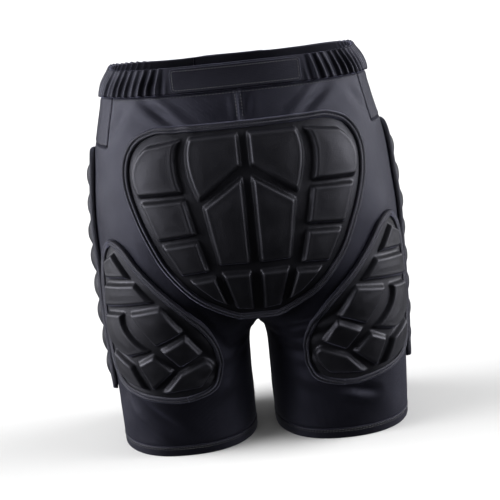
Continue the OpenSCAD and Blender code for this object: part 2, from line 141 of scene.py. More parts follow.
def form(t, z, bridge=False):
    """Points of the left half: t is 0 at the inner leg, 90 in front, 180 outside, 270 behind."""
    t, z = np.broadcast_arrays(np.asarray(t, float), np.asarray(z, float))
    back = np.mod(t, 360) > 180
    share = merge(z, back, t)
    half = curve(STATIONS, z) / (1 + share)
    mid = half * share
    c = np.cos(np.radians(t))
    x = mid - half * np.sign(c) * np.abs(c) ** (2 / SQUARE)
    r = CREASE_R * np.clip((z - CROTCH_Z) / CREASE_RISE, 0, 1)
    crease = fill(x, mid, half, r)
    if bridge:
        crease = np.maximum(crease, fill(x, mid, half, CREASE_R + BRIDGE_R * share))
    depth = np.where(back, curve(STATIONS, z, 3) - AXIS_Y, AXIS_Y - curve(STATIONS, z, 2))
    reach = depth * (np.abs(np.sin(np.radians(t))) ** (2 / SQUARE)
                     + np.where(z < CROTCH_Z, 0, crease))
    tilt = smooth((z - TILT_START) / (HEIGHT - TILT_START)) * np.minimum(1, (reach / TILT_DEPTH) ** 2)
    y = AXIS_Y + np.where(back, reach, -reach)
    return np.stack([x, y, z + tilt * np.where(back, TILT_BACK, TILT_FRONT)], -1)


def unit(v):
    return v / (np.linalg.norm(v, axis=-1, keepdims=True) + 1e-12)


def travelled(p):
    """Arc length from the first point to each point of p: [..., point, xyz]."""
    gone = np.cumsum(np.linalg.norm(np.diff(p, axis=-2), axis=-1), -1)
    return np.concatenate([np.zeros_like(gone[..., :1]), gone], -1)


def outward(t, z, bridge=False):
    """Outward directions of the left half."""
    along = form(t + 0.5, z, bridge) - form(t - 0.5, z, bridge)
    up = form(t, z + 0.8, bridge) - form(t, z - 0.8, bridge)
    n = unit(np.cross(along, up))
    x = form(t, z, bridge)[..., 0]
    n = n * np.stack([np.clip(x / 6, 0, 1), np.ones_like(x), np.clip(z / 30, 0, 1) + 0 * x], -1)
    return unit(n)


def placed(t, z, side, bridge=False):
    """Points of the form and its outward directions there. side is 1 left, -1 right."""
    p, n = form(t, z, bridge), outward(t, z, bridge)
    p[..., 0] *= side
    n[..., 0] *= side
    return p, n


def centre_turn(z, back):
    """Turn of the point in the centre plane."""
    t = np.degrees(np.arccos(np.minimum(1, merge(z, back) ** (SQUARE / 2))))
    return np.where(back, 360 - t, t)


def at_x(x, z, back):
    """Turn of the point at a distance x from the centre plane."""
    half = curve(STATIONS, z) / (1 + merge(z, back))
    c = (half * merge(z, back) - np.abs(x)) / half
    t = np.degrees(np.arccos(np.clip(np.sign(c) * np.abs(c) ** (SQUARE / 2), -1, 1)))
    return np.where(back, 360 - t, t)


def ring_turn(turn):
    """Turn and side of a point on the full ring: 0 is the front middle, 90 the left side."""
    t = np.where(turn <= 180, 90 + np.abs(turn), 450 - turn)
    return t, np.where((turn < 0) | (turn > 180), -1.0, 1.0)


# Turn at an arc length from the outer side, tabulated by height
ARC_Z = np.arange(40.0, 361.0, 2.0)
ARC_S = np.arange(0.0, 241.0, 2.0)
ARC_TURNS = []
for way in (-1, 1):
    swing = np.arange(0.0, 169.0, 2.0)
    gone = travelled(form(180 + way * swing[None, :], ARC_Z[:, None]))
    ARC_TURNS.append(np.array([np.interp(ARC_S, row, swing) for row in gone]))


def on_side(s, z):
    """Turn at an arc length behind (+) or before (-) the outer side."""
    s, z = np.broadcast_arrays(np.asarray(s, float), np.asarray(z, float))
    i = np.clip((z - ARC_Z[0]) / 2, 0, len(ARC_Z) - 1.001)
    j = np.clip(np.abs(s) / 2, 0, len(ARC_S) - 1.001)
    i0, j0 = i.astype(int), j.astype(int)
    fi, fj = i - i0, j - j0
    out = []
    for table in ARC_TURNS:
        out.append(mix(mix(table[i0, j0], table[i0, j0 + 1], fj),
                       mix(table[i0 + 1, j0], table[i0 + 1, j0 + 1], fj), fi))
    return 180 + np.where(s < 0, -out[0], out[1])


# -------- folds and small unevenness
LATTICE = rng.random((32, 32, 32)) * 2 - 1


def noise3(p, size, seed=0):
    """Smooth value noise from -1 to 1 with features of that size in mm."""
    q = p / size + 7.3 + seed * 5.17
    i = np.floor(q).astype(int)
    f = q - i
    f = f * f * (3 - 2 * f)
    out = 0
    for dx in (0, 1):
        for dy in (0, 1):
            for dz in (0, 1):
                w = (np.where(dx, f[..., 0], 1 - f[..., 0]) * np.where(dy, f[..., 1], 1 - f[..., 1])
                     * np.where(dz, f[..., 2], 1 - f[..., 2]))
                out = out + w * LATTICE[(i[..., 0] + dx) % 32, (i[..., 1] + dy) % 32,
                                        (i[..., 2] + dz) % 32]
    return out


# Creases of the cloth: ends [x, y, z], half width, depth (+ stands out, - sinks in)
CREASES = [
    ([99, 71, 396], [62, 92, 370], 5, -1.9), ([88, 78, 393], [50, 96, 365], 5, 1.2),
    ([-95, 73, 394], [-60, 92, 372], 5, -1.6), ([-84, 80, 392], [-48, 97, 368], 5, 1.0),
    ([-9, 88, 396], [-6, 94, 374], 4, -1.4), ([6, 88, 396], [3, 94, 374], 4, 0.9),
    ([118, 60, 388], [132, 45, 352], 6, -1.2), ([-118, 60, 388], [-132, 45, 350], 6, -1.4),
    ([66, 100, 174], [36, 66, 115], 6, -2.0), ([78, 98, 170], [50, 74, 112], 6, 1.3),
    ([-36, 80, 139], [-88, 95, 160], 5, -1.7), ([-30, 68, 130], [-84, 92, 148], 5, 1.3),
    ([-16, 40, 121], [-62, 87, 133], 5, -1.5), ([65, 84, 104], [16, 36, 120], 6, 1.4),
    ([72, 86, 94], [26, 44, 108], 6, -1.5), ([140, 62, 70], [96, 76, 26], 7, -2.0),
    ([146, 50, 62], [110, 72, 18], 7, 1.2), ([-84, 82, 64], [-121, 72, 53], 5, -1.4),
    ([-78, 82, 56], [-112, 76, 45], 5, 1.0), ([-60, 86, 104], [-24, 50, 110], 6, -1.3),
    ([24, 60, 86], [60, 86, 60], 8, 1.2), ([-30, 66, 80], [-64, 86, 62], 8, 1.0),
    ([-103, -95, 362], [-77, -104, 380], 4, -1.9), ([-108, -92, 372], [-84, -100, 386], 4, 1.1),
    ([-104, -96, 351], [-80, -106, 368], 5, 1.0), ([-151, -52, 331], [-128, -80, 345], 5, -1.6),
    ([104, -94, 380], [126, -78, 362], 5, -1.0), ([-41, -111, 197], [-16, -106, 168], 5, -1.7),
    ([8, -106, 167], [44, -110, 188], 5, -1.6), ([-89, -100, 186], [-50, -106, 158], 7, -1.6),
    ([-80, -102, 176], [-40, -102, 148], 7, 1.2), ([14, -100, 152], [70, -106, 178], 7, 1.4),
    ([90, -100, 190], [132, -78, 186], 6, -1.0), ([-26, -94, 128], [-70, -102, 112], 7, -1.3),
    ([22, -94, 126], [66, -102, 108], 7, -1.4), ([-34, -92, 112], [-80, -100, 92], 8, 0.9),
    ([12, -40, 116], [12, -70, 96], 6, 1.0), ([140, -60, 120], [120, -84, 60], 9, 1.1),
    ([-140, -60, 130], [-118, -84, 56], 9, 1.2), ([150, 30, 380], [158, 22, 346], 6, 1.1),
    ([-150, 30, 380], [-158, 22, 346], 6, 0.9),
]


UNEVEN = ((1.3, 62, 0), (0.75, 27, 1))      # depth, size and seed of the cloth's unevenness
CREASE_GAIN, CREASE_BANK, HEM_CALM = 1.8, 0.28, 0.35


def folds(p):
    """How far the cloth stands off the even form at these points."""
    out = sum(depth * noise3(p, size, seed) for depth, size, seed in UNEVEN)
    for a, b, wide, deep in CREASES:
        a, b = np.array(a, float), np.array(b, float)
        ab = b - a
        s = np.clip(((p - a) @ ab) / (ab @ ab), 0, 1)
        d = np.linalg.norm(p - a - s[..., None] * ab, axis=-1)
        taper = np.sin(np.pi * (0.12 + 0.76 * s)) ** 1.2
        across = np.exp(-(d / wide) ** 2) - CREASE_BANK * np.exp(-((d - 2 * wide) / wide) ** 2)
        out = out + CREASE_GAIN * deep * taper * across
    return out * mix(HEM_CALM, 1, smooth(p[..., 2] / 30))


GATHER_PITCH, GATHER_RISE, GATHER_SINK = 11.6, 4.6, 1.0
GATHERS_FROM = 86.0, 118.0      # distance from the middle where they start in front, left and right
BAND_MID = 405.0                # height of the waistband's middle
DEGREE = 2.35                   # length of waistband in one degree of turn


def gathers(turn, z, p):
    """Gathers of the elastic waistband: none by the closure or on the smooth rear patch."""
    x = p[..., 0]
    back = p[..., 1] > -10
    edge = np.where(back, PATCH_HALF + 2, np.where(x > 0, *GATHERS_FROM))
    share = smooth((np.abs(x) - edge) / 10)
    way = turn * DEGREE + 1.6 * noise3(p, 21, 2) + 0.03 * (z - BAND_MID)
    wave = 0.5 + 0.5 * np.cos(2 * np.pi * way / GATHER_PITCH)
    strong = 0.78 + 0.42 * noise3(np.stack([way, 0 * way, 0 * way], -1), GATHER_PITCH, 3)
    up = np.sin(np.pi * np.clip((z - BAND_FRONT_Z) / (HEIGHT - BAND_FRONT_Z), 0.12, 0.86))
    return share * strong * (GATHER_RISE * wave ** 1.7 - GATHER_SINK) * (0.4 + 0.6 * up)


# -------- meshes
DENSE = 1.0


def cells(length, pitch):
    return max(4, int(round(length / (pitch * DENSE))))


def steps(length, pitch, low=0.0, high=1.0):
    """Even steps from low to high, about a pitch apart over a length in mm."""
    return np.linspace(low, high, cells(length, pitch) + 1)


def build(name, points, faces, uv, material, slot, body="root"):
    """A smooth mesh from points in mm, quads or triangles, and a UV in mm for each point."""
    points, faces = np.asarray(points, np.float32) * MM, np.asarray(faces, np.int32)
    mesh = bpy.data.meshes.new(name)
    count, sides = faces.shape
    mesh.vertices.add(len(points))
    mesh.vertices.foreach_set("co", points.ravel())
    mesh.loops.add(count * sides)
    mesh.loops.foreach_set("vertex_index", faces.ravel())
    mesh.polygons.add(count)
    mesh.polygons.foreach_set("loop_start", np.arange(0, count * sides, sides, dtype=np.int32))
    mesh.polygons.foreach_set("use_smooth", np.ones(count, bool))
    layer = mesh.uv_layers.new(name="cloth")
    layer.data.foreach_set("uv", (np.asarray(uv, np.float32)[faces.ravel()] * MM).ravel())
    mesh.update(calc_edges=True)
    mesh.validate()
    mesh.materials.append(material)
    obj = bpy.data.objects.new(name, mesh)
    bpy.context.scene.collection.objects.link(obj)
    if body:
        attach(obj, body)
    return obj


def lengths(p):
    """Arc lengths along both ways of a grid of points: [row, column]."""
    return travelled(p), travelled(p.swapaxes(0, 1)).T


def every_cell(us, vs):
    return np.ones((len(vs) - 1, len(us) - 1), bool)


def facing(base, n, *grids):
    """The grids, with their columns turned round where the quads would face inwards."""
    if np.cross(base[0, 1] - base[0, 0], base[1, 0] - base[0, 0]) @ n[0, 0] < 0:
        return [grid[:, ::-1] for grid in grids]
    return grids


def border_distance(p, mask):
    """Distance of each grid point from the sheet's border."""
    m, n = p.shape[:2]
    used = np.zeros((m + 1, n + 1), int)
    used[1:-1, 1:-1] = mask
    around = used[:-1, :-1] + used[1:, :-1] + used[:-1, 1:] + used[1:, 1:]
    rim = (around > 0) & (around < 4)
    tree = mathutils.kdtree.KDTree(int(rim.sum()))
    for k, q in enumerate(p[rim]):
        tree.insert(q, k)
    tree.balance()
    return np.array([tree.find(q)[2] for q in p.reshape(-1, 3)]).reshape(m, n)


def shell(top, low, mask, uv):
    """Points, quads and UVs of a closed sheet between two grids of points."""
    m, n = top.shape[:2]
    ids = np.arange(m * n).reshape(m, n)
    a, b, c, d = ids[:-1, :-1], ids[:-1, 1:], ids[1:, 1:], ids[1:, :-1]
    quads = np.stack([a, b, c, d], -1)[mask]
    size = m * n
    edges = {}
    for q in quads.tolist():
        for k in range(4):
            edges[(q[k], q[(k + 1) % 4])] = True
    walls = [[i, i + size, j + size, j] for i, j in edges if (j, i) not in edges]
    faces = np.concatenate([quads, quads[:, ::-1] + size, np.array(walls)])
    points = np.concatenate([top.reshape(-1, 3), low.reshape(-1, 3)])
    used = np.unique(faces)
    index = np.zeros(len(points), int)
    index[used] = np.arange(len(used))
    return points[used], index[faces], np.concatenate([uv, uv]).reshape(-1, 2)[used]


PUCKER, RIDGE, LEAST, INNER_SHARE = 0.22, 0.22, 0.25, 0.35


def cloth(name, place, us, vs, material, slot, low=-CLOTH_T, high=0.0, mask=None, body="root",
          gather=None, lift=None, dip=0.75, round_edge=0.0, held="stretched", rests_on=(), cut=None,
          straight=None):
    """A sheet of cloth with its thickness, in place of the CAD node of that name. place(u, v) gives
    turns, heights and sides. Its border dips into the seams by dip, or is rounded over round_edge
    where it ends free. gather raises it, mostly outside, and lift moves it off the form. The weave
    runs along the column numbered straight, or the middle one."""
    u, v = np.meshgrid(us, vs)
    t, z, side = place(u, v)
    base, n = placed(t, z, side + 0 * t)
    mask = every_cell(us, vs) if mask is None else mask
    far = border_distance(base, mask)
    off = folds(base) + (lift(u, v) if lift else 0)
    gathered = gather(u, z, base) if gather else 0
    off = [off + gathered, off + INNER_SHARE * gathered]
    hi, lo = high + 0 * far, low + 0 * far
    if round_edge:
        k = np.clip(far / round_edge, 0, 1)
        bulge_up = np.sqrt(np.maximum(0, 1 - (1 - k) ** 2))
        mid = (hi + lo) / 2
        hi, lo = mix(mid, hi, bulge_up), mix(mid, lo, bulge_up)
    else:
        pucker = PUCKER * noise3(base, 4.2, 4) * np.exp(-(far / 5) ** 2)
        sink = dip * np.exp(-(far / 1.5) ** 2) - RIDGE * np.exp(-((far - 3.4) / 1.5) ** 2)
        hi = hi - sink + pucker
        lo = lo + 0.2 * np.exp(-(far / 1.2) ** 2) + 0.5 * pucker
    top = base + (off[0] + hi)[..., None] * n
    under = base + (off[1] + lo)[..., None] * n
    gap = np.sum((top - under) * n, -1)
    under = under - np.maximum(0, LEAST - gap)[..., None] * n
    across, along = lengths(base)
    k = len(us) // 2 if straight is None else straight
    uv = np.stack([across - across[:, [k]], along[:, [k]] + 0 * along], -1)
    top, under, uv, mask, base = facing(base, n, top, under, uv, mask, base)
    points, faces, uvs = shell(top, under, mask, uv)
    obj = build(name + "_cloth", points, faces, uvs, material, slot, body)
    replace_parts(obj, name)
    return obj


def spread(length, pitch, fine):
    """Even steps from 0 to 1 with a few close to both ends, for a rounded border."""
    near = np.array([0, 0.1, 0.3, 0.6, 1.0]) * fine / length
    even = np.linspace(near[-1], 1 - near[-1], cells(length, pitch))
    return np.unique(np.concatenate([near, even, 1 - near]))


# -------- materials
LAVENDER = (0.6, 0.61, 0.92, 1)


class Graph:
    """A node tree under construction. Numbers and sockets can both be inputs of a node."""

    def __init__(self, tree):
        self.tree = tree

    def node(self, kind, *inputs, **props):
        made = self.tree.nodes.new("ShaderNode" + kind)
        for key, value in props.items():
            setattr(made, key, value)
        for i, value in enumerate(inputs):
            self.plug(made.inputs[i], value)
        return made

    def plug(self, socket, value):
        if isinstance(value, bpy.types.NodeSocket):
            self.tree.links.new(value, socket)
        elif value is not None:
            socket.default_value = value

    def math(self, operation, *inputs):
        return self.node("Math", *inputs, operation=operation).outputs[0]

    def add(self, a, b):
        return self.math("ADD", a, b)

    def times(self, a, b):
        return self.math("MULTIPLY", a, b)

    def between(self, value, low, high, lo, hi):
        return self.node("MapRange", value, low, high, lo, hi).outputs[0]


class Paint(Graph):
    """A material under construction."""

    def __init__(self, name, **sockets):
        self.material = bpy.data.materials.new(name)
        self.material.use_nodes = True
        super().__init__(self.material.node_tree)
        self.shader = self.tree.nodes["Principled BSDF"]
        for key, value in sockets.items():
            self.shader.inputs[key.replace("_", " ")].default_value = value
        self.uv = self.node("TexCoord").outputs["UV"]
        self.place = self.node("TexCoord").outputs["Object"]

    def uv_parts(self, wide, tall):
        """The cloth's two directions, one per wide and per tall metres."""
        split = self.node("SeparateXYZ", self.uv)
        return (self.math("DIVIDE", split.outputs[0], wide), self.math("DIVIDE", split.outputs[1], tall))

    def wave(self, value):
        return self.math("SINE", self.times(value, 2 * math.pi))

    def noise(self, scale, detail=3.0, rough=0.55):
        made = self.node("TexNoise", self.place)
        made.inputs["Scale"].default_value = scale
        made.inputs["Detail"].default_value = detail
        made.inputs["Roughness"].default_value = rough
        return made.outputs["Fac"]

    def colours(self, value, dark, light, start=0.3, end=0.7):
        ramp = self.node("ValToRGB", value)
        ramp.color_ramp.elements[0].position, ramp.color_ramp.elements[1].position = start, end
        ramp.color_ramp.elements[0].color = (*dark, 1)
        ramp.color_ramp.elements[1].color = (*light, 1)
        return ramp.outputs[0]

    def bump(self, value, depth, after=None):
        made = self.node("Bump")
        made.inputs["Distance"].default_value = depth
        self.plug(made.inputs["Height"], value)
        if after is not None:
            self.plug(made.inputs["Normal"], after)
        return made.outputs[0]

    def finish(self, colour=None, roughness=None, normal=None):
        for key, value in (("Base Color", colour), ("Roughness", roughness), ("Normal", normal)):
            if value is not None:
                self.plug(self.shader.inputs[key], value)
        return self.material


def stretch_knit(name, dark, light, sheen=0.22, seed=0.0):
    """Fine warp knit of nylon and elastane: V-shaped loops, a soft sheen, faint lighter wear."""
    p = Paint(name, Sheen_Weight=sheen, Sheen_Roughness=0.3, Sheen_Tint=LAVENDER, Specular_IOR_Level=0.16,
              Specular_Tint=LAVENDER)
    u, v = p.uv_parts(wide=0.0013, tall=0.0011)
    fold = p.math("ABSOLUTE", p.wave(p.times(u, 0.5)))
    slant = p.wave(p.add(v, p.times(fold, 0.4)))
    loops = p.times(fold, p.between(slant, -1, 1, 0.5, 1))
    broad = p.noise(16 + seed, 2)
    fine = p.noise(900, 2)
    tone = p.add(p.times(broad, 0.75), p.times(loops, 0.25))
    rough = p.between(p.add(broad, p.times(fine, 0.5)), 0.4, 1.1, 0.4, 0.54)
    return p.finish(p.colours(tone, dark, light), rough, p.bump(fine, 0.00012, p.bump(loops, 0.00022)))


def vent_mesh():
    """Open hexagonal knit, lighter than the panels, with dark holes."""
    p = Paint("hexagonal_mesh", Sheen_Weight=0.25, Sheen_Roughness=0.3, Sheen_Tint=LAVENDER,
              Specular_IOR_Level=0.35)
    u, v = p.uv_parts(wide=0.0029, tall=0.0029 * 1.732)
    holes = []
    for shift in (0.0, 0.5):
        du = p.math("SUBTRACT", p.math("FRACT", p.add(u, shift)), 0.5)
        dv = p.times(p.math("SUBTRACT", p.math("FRACT", p.add(v, shift)), 0.5), 1.732)
        holes.append(p.math("SQRT", p.add(p.times(du, du), p.times(dv, dv))))
    thread = p.between(p.math("MINIMUM", *holes), 0.27, 0.4, 0, 1)
    strands = p.wave(p.add(p.times(u, 4), p.times(v, 4)))
    tone = p.times(thread, p.between(p.noise(30), 0.3, 0.7, 0.75, 1))
    height = p.add(thread, p.times(strands, 0.06))
    return p.finish(p.colours(tone, (0.004, 0.004, 0.005), (0.05, 0.05, 0.057), 0.1, 0.95),
                    p.between(thread, 0, 1, 0.8, 0.42), p.bump(height, 0.0006))


def band_cloth():
    """Thicker cloth of the waistband: a fine rib across its length."""
    p = Paint("waistband_cloth", Sheen_Weight=0.4, Sheen_Roughness=0.24, Sheen_Tint=LAVENDER,
              Specular_IOR_Level=0.14, Specular_Tint=LAVENDER)
    u, v = p.uv_parts(wide=0.0011, tall=0.0016)
    rib = p.times(p.between(p.wave(u), -1, 1, 0.4, 1), p.between(p.wave(v), -1, 1, 0.7, 1))
    broad, fine = p.noise(24, 2), p.noise(700, 2)
    tone = p.add(p.times(broad, 0.7), p.times(rib, 0.3))
    return p.finish(p.colours(tone, (0.0022, 0.0022, 0.003), (0.0062, 0.0062, 0.0082)),
                    p.between(broad, 0.3, 0.7, 0.5, 0.64), p.bump(fine, 0.0001, p.bump(rib, 0.0002)))


def pad_skin():
    """Skin of the moulded foam: smooth laminated knit with a fine pebble, a painted highlight on its edges
    and a little painted shade in its hollows.
    """
    p = Paint("moulded_pad_skin", Sheen_Weight=0.12, Sheen_Roughness=0.25, Sheen_Tint=LAVENDER,
              Specular_IOR_Level=0.21, Specular_Tint=(0.82, 0.82, 1.0, 1))
    u, v = p.uv_parts(wide=0.0009, tall=0.0009)
    weave = p.times(p.wave(u), p.wave(v))
    pebble = p.node("TexVoronoi", p.place)
    pebble.inputs["Scale"].default_value = 950
    # Painted highlight and shade: pointiness makes the convex block edges lighter and the hollows a little
    # darker.
    edge_highlight_and_hollow_shade = p.node("NewGeometry").outputs["Pointiness"]
    broad = p.noise(40, 3)
    tone = p.add(p.times(broad, 0.5), p.between(edge_highlight_and_hollow_shade, 0.49, 0.56, 0, 0.5))
    height = p.add(pebble.outputs["Distance"], p.times(weave, 0.25))
    return p.finish(p.colours(tone, (0.0016, 0.0016, 0.0021), (0.0062, 0.0062, 0.0076)),
                    p.between(broad, 0.3, 0.7, 0.44, 0.56), p.bump(height, 0.00012))


def twill_tape():
    """Binding tape with a diagonal rib."""
    p = Paint("binding_twill", Sheen_Weight=0.2, Sheen_Roughness=0.35, Sheen_Tint=LAVENDER,
              Specular_IOR_Level=0.2, Specular_Tint=(0.75, 0.75, 1.0, 1))
    u, v = p.uv_parts(wide=0.0016, tall=0.0016)
    rib = p.wave(p.add(u, v))
    broad = p.noise(60, 2)
    tone = p.add(p.times(broad, 0.7), p.between(rib, -1, 1, 0, 0.3))
    return p.finish(p.colours(tone, (0.0025, 0.0025, 0.0032), (0.009, 0.009, 0.011)),
                    p.between(broad, 0.3, 0.7, 0.42, 0.55), p.bump(rib, 0.00018))


def ribbed_elastic():
    p = Paint("ribbed_elastic", Sheen_Weight=0.2, Sheen_Roughness=0.4, Sheen_Tint=LAVENDER,
              Specular_IOR_Level=0.3)
    u, v = p.uv_parts(wide=0.0022, tall=0.0016)
    rib = p.add(p.wave(v), p.times(p.wave(u), 0.45))
    tone = p.add(p.between(rib, -1.4, 1.4, 0.1, 0.6), p.times(p.noise(50), 0.4))
    return p.finish(p.colours(tone, (0.007, 0.007, 0.008), (0.035, 0.035, 0.038)),
                    p.between(p.noise(80), 0.3, 0.7, 0.55, 0.75), p.bump(rib, 0.0004))


def fastening(name, scale, depth, dark, light):
    """Hook or loop side of the fastening: dense tufts in rows."""
    p = Paint(name, Sheen_Weight=0.4, Sheen_Roughness=0.6, Specular_IOR_Level=0.3)
    tufts = p.node("TexVoronoi", p.place)
    tufts.inputs["Scale"].default_value = scale
    tufts.inputs["Randomness"].default_value = 0.55
    hairs = p.noise(2600, 4, 0.7)
    height = p.math("SUBTRACT", p.times(hairs, 0.7), tufts.outputs["Distance"])
    tone = p.add(p.between(height, -0.5, 0.4, 0, 0.8), p.times(p.noise(60), 0.2))
    return p.finish(p.colours(tone, dark, light, 0.1, 0.9), p.between(hairs, 0.2, 0.8, 0.6, 0.85),
                    p.bump(height, depth))


def satin_tape():
    """Woven satin of the care label, with a plain border and no lettering."""
    p = Paint("satin_label", Specular_IOR_Level=0.5, Anisotropic=0.4)
    u, v = p.uv_parts(wide=0.0006, tall=0.0009)
    weave = p.times(p.wave(u), p.wave(v))
    tone = p.add(p.times(p.noise(90), 0.6), p.between(weave, -1, 1, 0, 0.4))
    return p.finish(p.colours(tone, (0.42, 0.42, 0.43), (0.62, 0.62, 0.61)),
                    p.between(p.noise(40), 0.3, 0.7, 0.32, 0.45), p.bump(weave, 0.0001))


def sewing_thread():
    p = Paint("sewing_thread", Sheen_Weight=0.15, Specular_IOR_Level=0.55)
    u, v = p.uv_parts(wide=0.0005, tall=0.0005)
    twist = p.wave(p.add(u, v))
    return p.finish(p.colours(p.noise(200), (0.004, 0.004, 0.005), (0.011, 0.011, 0.013)),
                    p.between(p.noise(300), 0.3, 0.7, 0.34, 0.5), p.bump(twist, 0.00008))


KNIT = stretch_knit("stretch_knit", (0.0015, 0.0015, 0.0023), (0.0045, 0.0045, 0.0066))
HIP_KNIT = stretch_knit("hip_band_knit", (0.0017, 0.0017, 0.0025), (0.005, 0.005, 0.0072), 0.2, 5.0)
MESH = vent_mesh()
BAND = band_cloth()
SKIN = pad_skin()
TAPE = twill_tape()
ELASTIC = ribbed_elastic()
HOOKS = fastening("hook_side", 700, 0.0005, (0.004, 0.004, 0.0045), (0.03, 0.03, 0.032))
LOOPS = fastening("loop_side", 420, 0.0007, (0.005, 0.005, 0.0055), (0.026, 0.026, 0.028))
LABEL = satin_tape()
THREAD = sewing_thread()


# -------- stretch panels
PANEL_PITCH, BAND_PITCH = 2.4, 2.2      # about the size of the cloth's quads
PANEL_TOP = HIP_BAND_Z + SEAM
FRONT_TURN = float(at_x(GUSSET_HALF, GUSSET_TOP, False))
BACK_TURN = float(360 - centre_turn(GUSSET_TOP, True))


def rise(z):
    """How far up the gusset's height z is, from 0 to 1."""
    return np.clip((z - GUSSET_Z) / (GUSSET_TOP - GUSSET_Z), 0, 1)


def front_edge(z):
    above = at_x(curve(VENT_EDGE, np.maximum(z, GUSSET_TOP)), np.maximum(z, GUSSET_TOP), False)
    return np.where(z <= GUSSET_TOP, FRONT_TURN * rise(z) ** TAPER, above)


def back_edge(z):
    return np.where(z <= GUSSET_TOP, 360 - BACK_TURN * rise(z) ** TAPER, centre_turn(z, True))


def panel_turn(u, edge, z):
    return 180 * u + edge * (1 - u) ** (2 - rise(z))


def band_foot(t):
    """Height of the waistband's lower edge."""
    return mix(BAND_FRONT_Z, BAND_BACK_Z, smooth((t - 150) / 50))


def rows_between(*stops):
    """Heights through these stops, so that seams of neighbouring pieces meet."""
    out = [steps(b - a, PANEL_PITCH, a, b)[:-1] for a, b in zip(stops[:-1], stops[1:])]
    return np.concatenate(out + [[stops[-1]]])


LOW_ROWS = rows_between(HEM_H - 2 * SEAM, GUSSET_Z, GUSSET_TOP, PANEL_TOP)


def front_panel(name, side):
    def place(u, z):
        return panel_turn(u, front_edge(z), z), z, side
    cloth(name, place, steps(170, PANEL_PITCH), LOW_ROWS, KNIT, "stretch_fabric", straight=-1)


def back_panel(name, side):
    """It rises past the hip band's end, to the waistband, over the part of its width behind it."""
    notch, rise_h = 0.3, 50
    us = np.concatenate([steps(50, PANEL_PITCH, 0, notch), steps(120, PANEL_PITCH, notch, 1)[1:]])
    vs = np.concatenate([LOW_ROWS, PANEL_TOP + steps(rise_h, PANEL_PITCH, 0, rise_h)[1:]])

    def place(u, v):
        z = np.minimum(v, PANEL_TOP)
        t = 360 - panel_turn(1 - u, 360 - back_edge(z), z)
        upper = mix(PANEL_TOP, band_foot(t), (v - PANEL_TOP) / rise_h)
        return t, np.where(v > PANEL_TOP, upper, z), side

    mask = every_cell(us, vs)
    mask[len(LOW_ROWS) - 1:, :int(np.searchsorted(us, notch - 1e-9))] = False
    cloth(name, place, us, vs, KNIT, "stretch_fabric", mask=mask, straight=0)


def hip_band(name, side):
    def place(u, v):
        z = mix(PANEL_TOP, BAND_FRONT_Z, v)
        t = mix(at_x(curve(VENT_EDGE, z), z, False), HIP_BACK, u)
        return t, mix(PANEL_TOP, band_foot(t), v), side
    cloth(name, place, steps(130, BAND_PITCH), steps(42, BAND_PITCH), HIP_KNIT, "stretch_fabric", high=0.25)


def mesh_vent(name, side):
    def place(u, z):
        t, z, _ = signed_x(mix(curve(FLY_EDGE, z), curve(VENT_EDGE, z), u), z, False)
        return t, z, side
    cloth(name, place, steps(36, 1.8), rows_between(GUSSET_TOP, BAND_FRONT_Z), MESH, "vent_mesh",
          low=-1.2, high=-0.15, dip=0.5)


def signed_x(place_x, z, back):
    """Turn, height and side of a point at a distance from the centre plane, + on the left."""
    return at_x(np.abs(place_x), z, back), z, np.where(place_x < 0, -1.0, 1.0)


for make, stem in ((front_panel, "front_panel_"), (back_panel, "back_panel_"), (hip_band, "hip_band_")):
    for side, word in SIDES:
        make(stem + word, side)
cloth("fly_panel", lambda u, z: signed_x(u * curve(FLY_EDGE, z), z, False), steps(76, BAND_PITCH, -1, 1),
      rows_between(GUSSET_TOP, BAND_FRONT_Z), KNIT, "stretch_fabric")
for side, word in SIDES:
    mesh_vent("mesh_vent_" + word, side)


def gusset_place(u, q):
    back = q < 0
    z0 = mix(CROTCH_Z, GUSSET_TOP, np.abs(q) ** (1 / TAPER))
    z1 = mix(GUSSET_Z, GUSSET_TOP, np.abs(q) ** (1 / TAPER))
    z = mix(z0, z1, u * u)

    def least(h):
        c = centre_turn(h, back)
        return np.where(h > CROTCH_Z, np.where(back, 360 - c, c), 0)

    t = least(z) + np.abs(u) * (np.where(back, BACK_TURN, FRONT_TURN) * np.abs(q) - least(z1))
    return np.where(back, 360 - t, t), z, np.where(u < 0, -1.0, 1.0)


cloth("crotch_gusset", gusset_place, np.linspace(-0.999, 0.999, 2 * cells(30, BAND_PITCH) + 1),
      np.linspace(-0.995, 0.999, 2 * cells(60, BAND_PITCH) + 1), KNIT, "stretch_fabric", dip=0.5,
      cut=(70, 206))


# -------- hems, waistband and closure
for side, word in SIDES:
    cloth("hem_band_" + word, lambda u, z, s=side: (360 * u, z, s), steps(460, 2.6),
          HEM_H * 1.03 * spread(12, 1.44, 1.1), KNIT, "stretch_fabric", low=-CLOTH_T - 0.45, high=0.45,
          round_edge=1.1)


def turn_at(x):
    return float(np.sign(x) * (at_x(abs(x), BAND_MID, False) - 90))


def ring(name, start, end, foot, top, material, slot, share=1.0, **shape):
    """A gathered band from one turn to another. foot gives the height of its lower edge."""
    def place(u, v):
        t, side = ring_turn(mix(start, end, u))
        return t, mix(foot(t), top, v), side
    cloth(name, place, material=material, slot=slot, **shape,
          gather=lambda u, z, base: share * gathers(mix(start, end, u), z, base))


for name, start, end in (("waistband_front_left", turn_at(FLAP_ROOT - 1), 89.97),
                         ("waistband_front_right", -89.97, turn_at(FLAP_ROOT - 1.2)),
                         ("waistband_back", 90.03, 269.97)):
    ring(name, start, end, band_foot, HEIGHT, BAND, "waistband_fabric", high=FOLD_T, round_edge=1.3,
         us=spread(2.4 * (end - start), 1.5, 1.3), vs=spread(34, 2.0, 1.3), held="gathered")
ring("waist_elastic", 78, 282, lambda t: 404.0, HEIGHT - 4, ELASTIC, "elastic", 0.35,
     us=spread(480, 1.9, 0.7), vs=spread(17, 1.6, 0.7), low=-3.6, high=-2.1, round_edge=0.7,
     rests_on=["waistband_back_cloth"])


